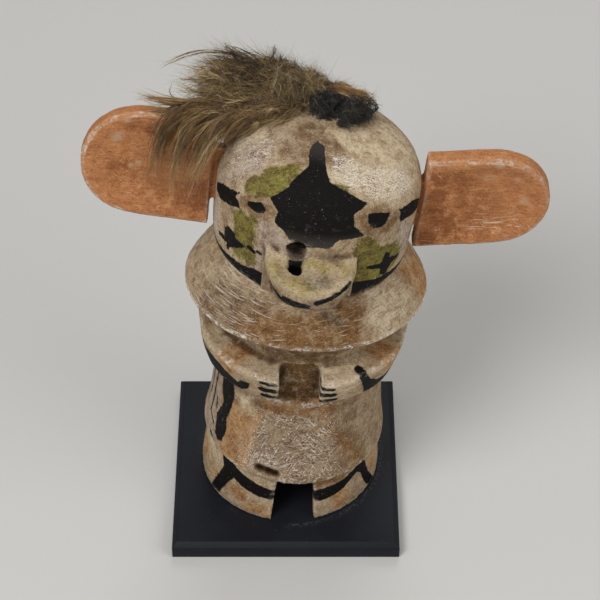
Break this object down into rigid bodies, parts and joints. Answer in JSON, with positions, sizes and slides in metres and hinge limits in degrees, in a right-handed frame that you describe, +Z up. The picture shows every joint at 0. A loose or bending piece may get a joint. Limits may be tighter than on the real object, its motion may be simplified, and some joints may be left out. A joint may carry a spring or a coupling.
{
  "type": "kachina doll",
  "caption": "Carved and painted wooden kachina doll with plank ears, a spout-like mouth and crown feathers, fixed on a chamfered black stand.",
  "frame": {"origin": "middle of the stand's flat underside", "axes": "+Z up, from the stand to the crown; the doll faces -Y; +X is at the right of the doll as seen from the front"},
  "size_m": [0.2151, 0.1207, 0.2625],
  "materials": {
    "painted_wood": "worn white, ochre, green and black mineral paint on dry wood",
    "orange_paint": "scuffed orange-red mineral paint on dry wood",
    "brown_feather": "dry downy brown feather",
    "dark_feather": "short black curled feather",
    "black_plate": "satin black paint with dust and fine scratches"
  },
  "bodies": {
    "root": {"doll": "painted_wood", "left_ear": "orange_paint", "right_ear": "orange_paint", "feather_plume": "brown_feather", "dark_feathers": "dark_feather", "stand": "black_plate"}
  },
  "joints": []
}
